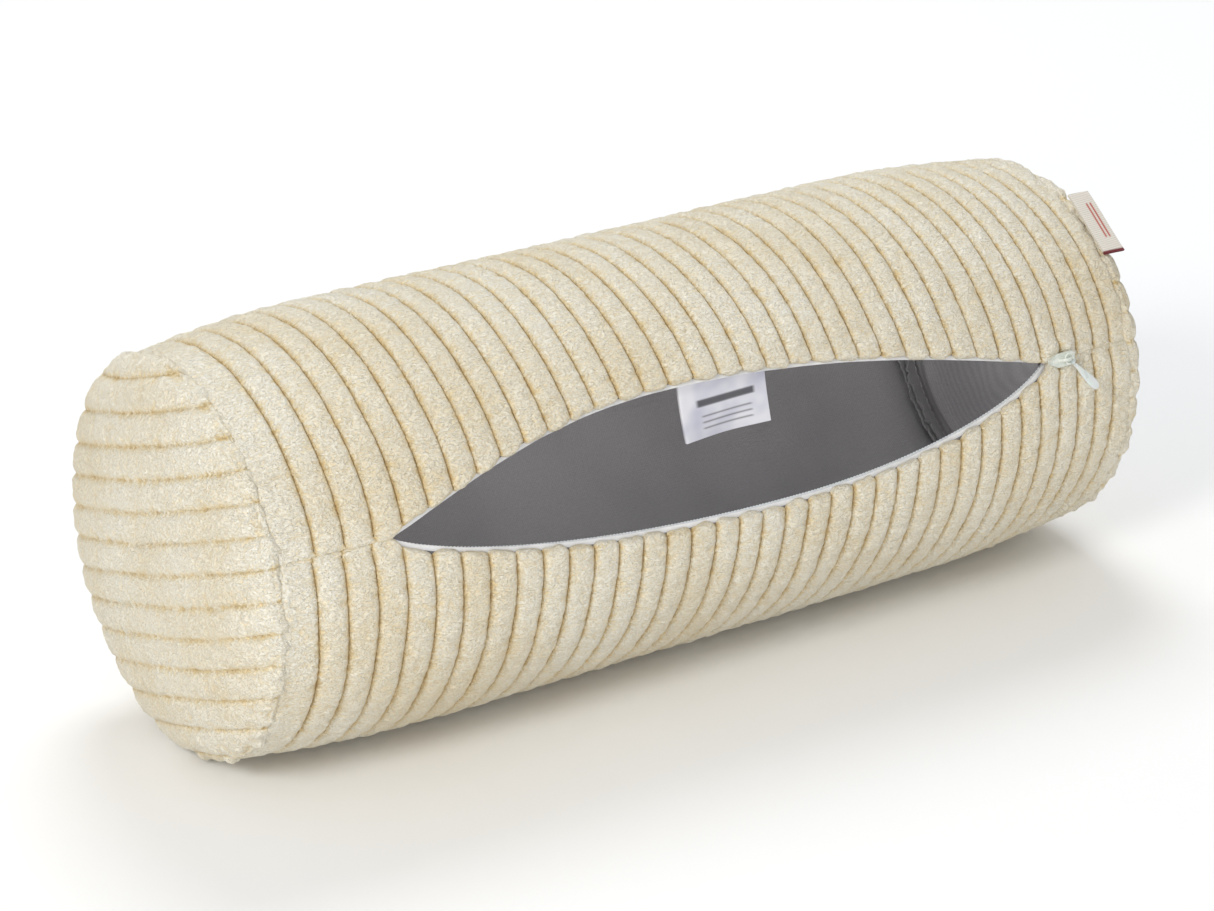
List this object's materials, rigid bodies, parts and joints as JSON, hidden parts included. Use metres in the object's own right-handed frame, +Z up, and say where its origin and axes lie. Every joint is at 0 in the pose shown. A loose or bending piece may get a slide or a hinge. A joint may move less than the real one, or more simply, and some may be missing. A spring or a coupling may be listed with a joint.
{
  "type": "bolster pillow",
  "caption": "Round bolster pillow cover in wide-wale corduroy with crowned ends and grey backing, its lengthwise zip drawn open on an empty cavity for an insert.",
  "frame": {"origin": "centre of the flat strip under the barrel, which it rests on", "axes": "+X along the barrel, towards the end that carries the side tag; +Z up; the zip faces -Y"},
  "size_m": [0.39, 0.1521, 0.146],
  "materials": {
    "corduroy": "cream wide-wale plush corduroy, matt and soft",
    "grey_backing": "dark grey fine woven backing, matt",
    "zip_tape": "white fine woven polyester tape",
    "zip_coil": "white nylon coil",
    "thread": "cream polyester sewing thread",
    "slider_metal": "white lacquer on die-cast metal",
    "pull_plastic": "milky translucent moulded plastic",
    "label_satin": "white satin ribbon, soft sheen",
    "tag_weave": "white woven ribbon with a maroon edge"
  },
  "bodies": {
    "cover": {"barrel_panel": "corduroy", "barrel_backing": "grey_backing", "left_end_panel": "corduroy", "left_end_backing": "grey_backing", "right_end_panel": "corduroy", "right_end_backing": "grey_backing", "left_end_allowance": "grey_backing", "right_end_allowance": "grey_backing", "left_end_stitching": "thread", "right_end_stitching": "thread", "left_seam_allowance": "grey_backing", "right_seam_allowance": "grey_backing", "left_seam_stitching": "thread", "right_seam_stitching": "thread", "zip_top_stop": "slider_metal", "zip_bottom_stop": "slider_metal", "side_tag": "tag_weave"},
    "upper_lip": {"upper_lip_panel": "corduroy", "upper_lip_backing": "grey_backing", "upper_zip_tape": "zip_tape", "upper_zip_coil": "zip_coil", "upper_zip_stitching": "thread", "care_label": "label_satin", "care_label_stitching": "thread"},
    "lower_lip": {"lower_lip_panel": "corduroy", "lower_lip_backing": "grey_backing", "lower_zip_tape": "zip_tape", "lower_zip_coil": "zip_coil", "lower_zip_stitching": "thread"},
    "slider": {"slider_body": "slider_metal", "slider_bridge": "slider_metal"},
    "pull_ring": {"pull_ring": "slider_metal"},
    "pull_tab": {"pull_tab": "pull_plastic"}
  },
  "joints": [
    {"name": "zip_slide", "type": "slide", "parent": "cover", "child": "slider", "axis": [-1, 0, 0], "range_m": [0, 0.268]},
    {"name": "upper_lip_close", "type": "hinge", "parent": "cover", "child": "upper_lip", "pos_m": [0, 0, 0.071], "axis": [1, 0, 0], "range_deg": [0, 19.5], "deforming": ["upper_lip_panel", "upper_lip_backing", "upper_zip_tape", "upper_zip_coil", "upper_zip_stitching", "care_label", "care_label_stitching"]},
    {"name": "lower_lip_close", "type": "hinge", "parent": "cover", "child": "lower_lip", "pos_m": [0, 0, 0.071], "axis": [-1, 0, 0], "range_deg": [0, 19.5], "deforming": ["lower_lip_panel", "lower_lip_backing", "lower_zip_tape", "lower_zip_coil", "lower_zip_stitching"]},
    {"name": "pull_lift", "type": "hinge", "parent": "slider", "child": "pull_ring", "pos_m": [0.1395, -0.07252, 0.09456], "axis": [0, -0.309, -0.9511], "range_deg": [0, 160]},
    {"name": "pull_swing", "type": "hinge", "parent": "pull_ring", "child": "pull_tab", "pos_m": [0.1413, -0.07252, 0.09456], "axis": [0, -0.9511, 0.309], "range_deg": [-40, 95]}
  ],
  "couplings": [
    {"joint": "upper_lip_close", "follows": "zip_slide", "rad_per_m": 1.2698},
    {"joint": "lower_lip_close", "follows": "zip_slide", "rad_per_m": 1.2698}
  ]
}
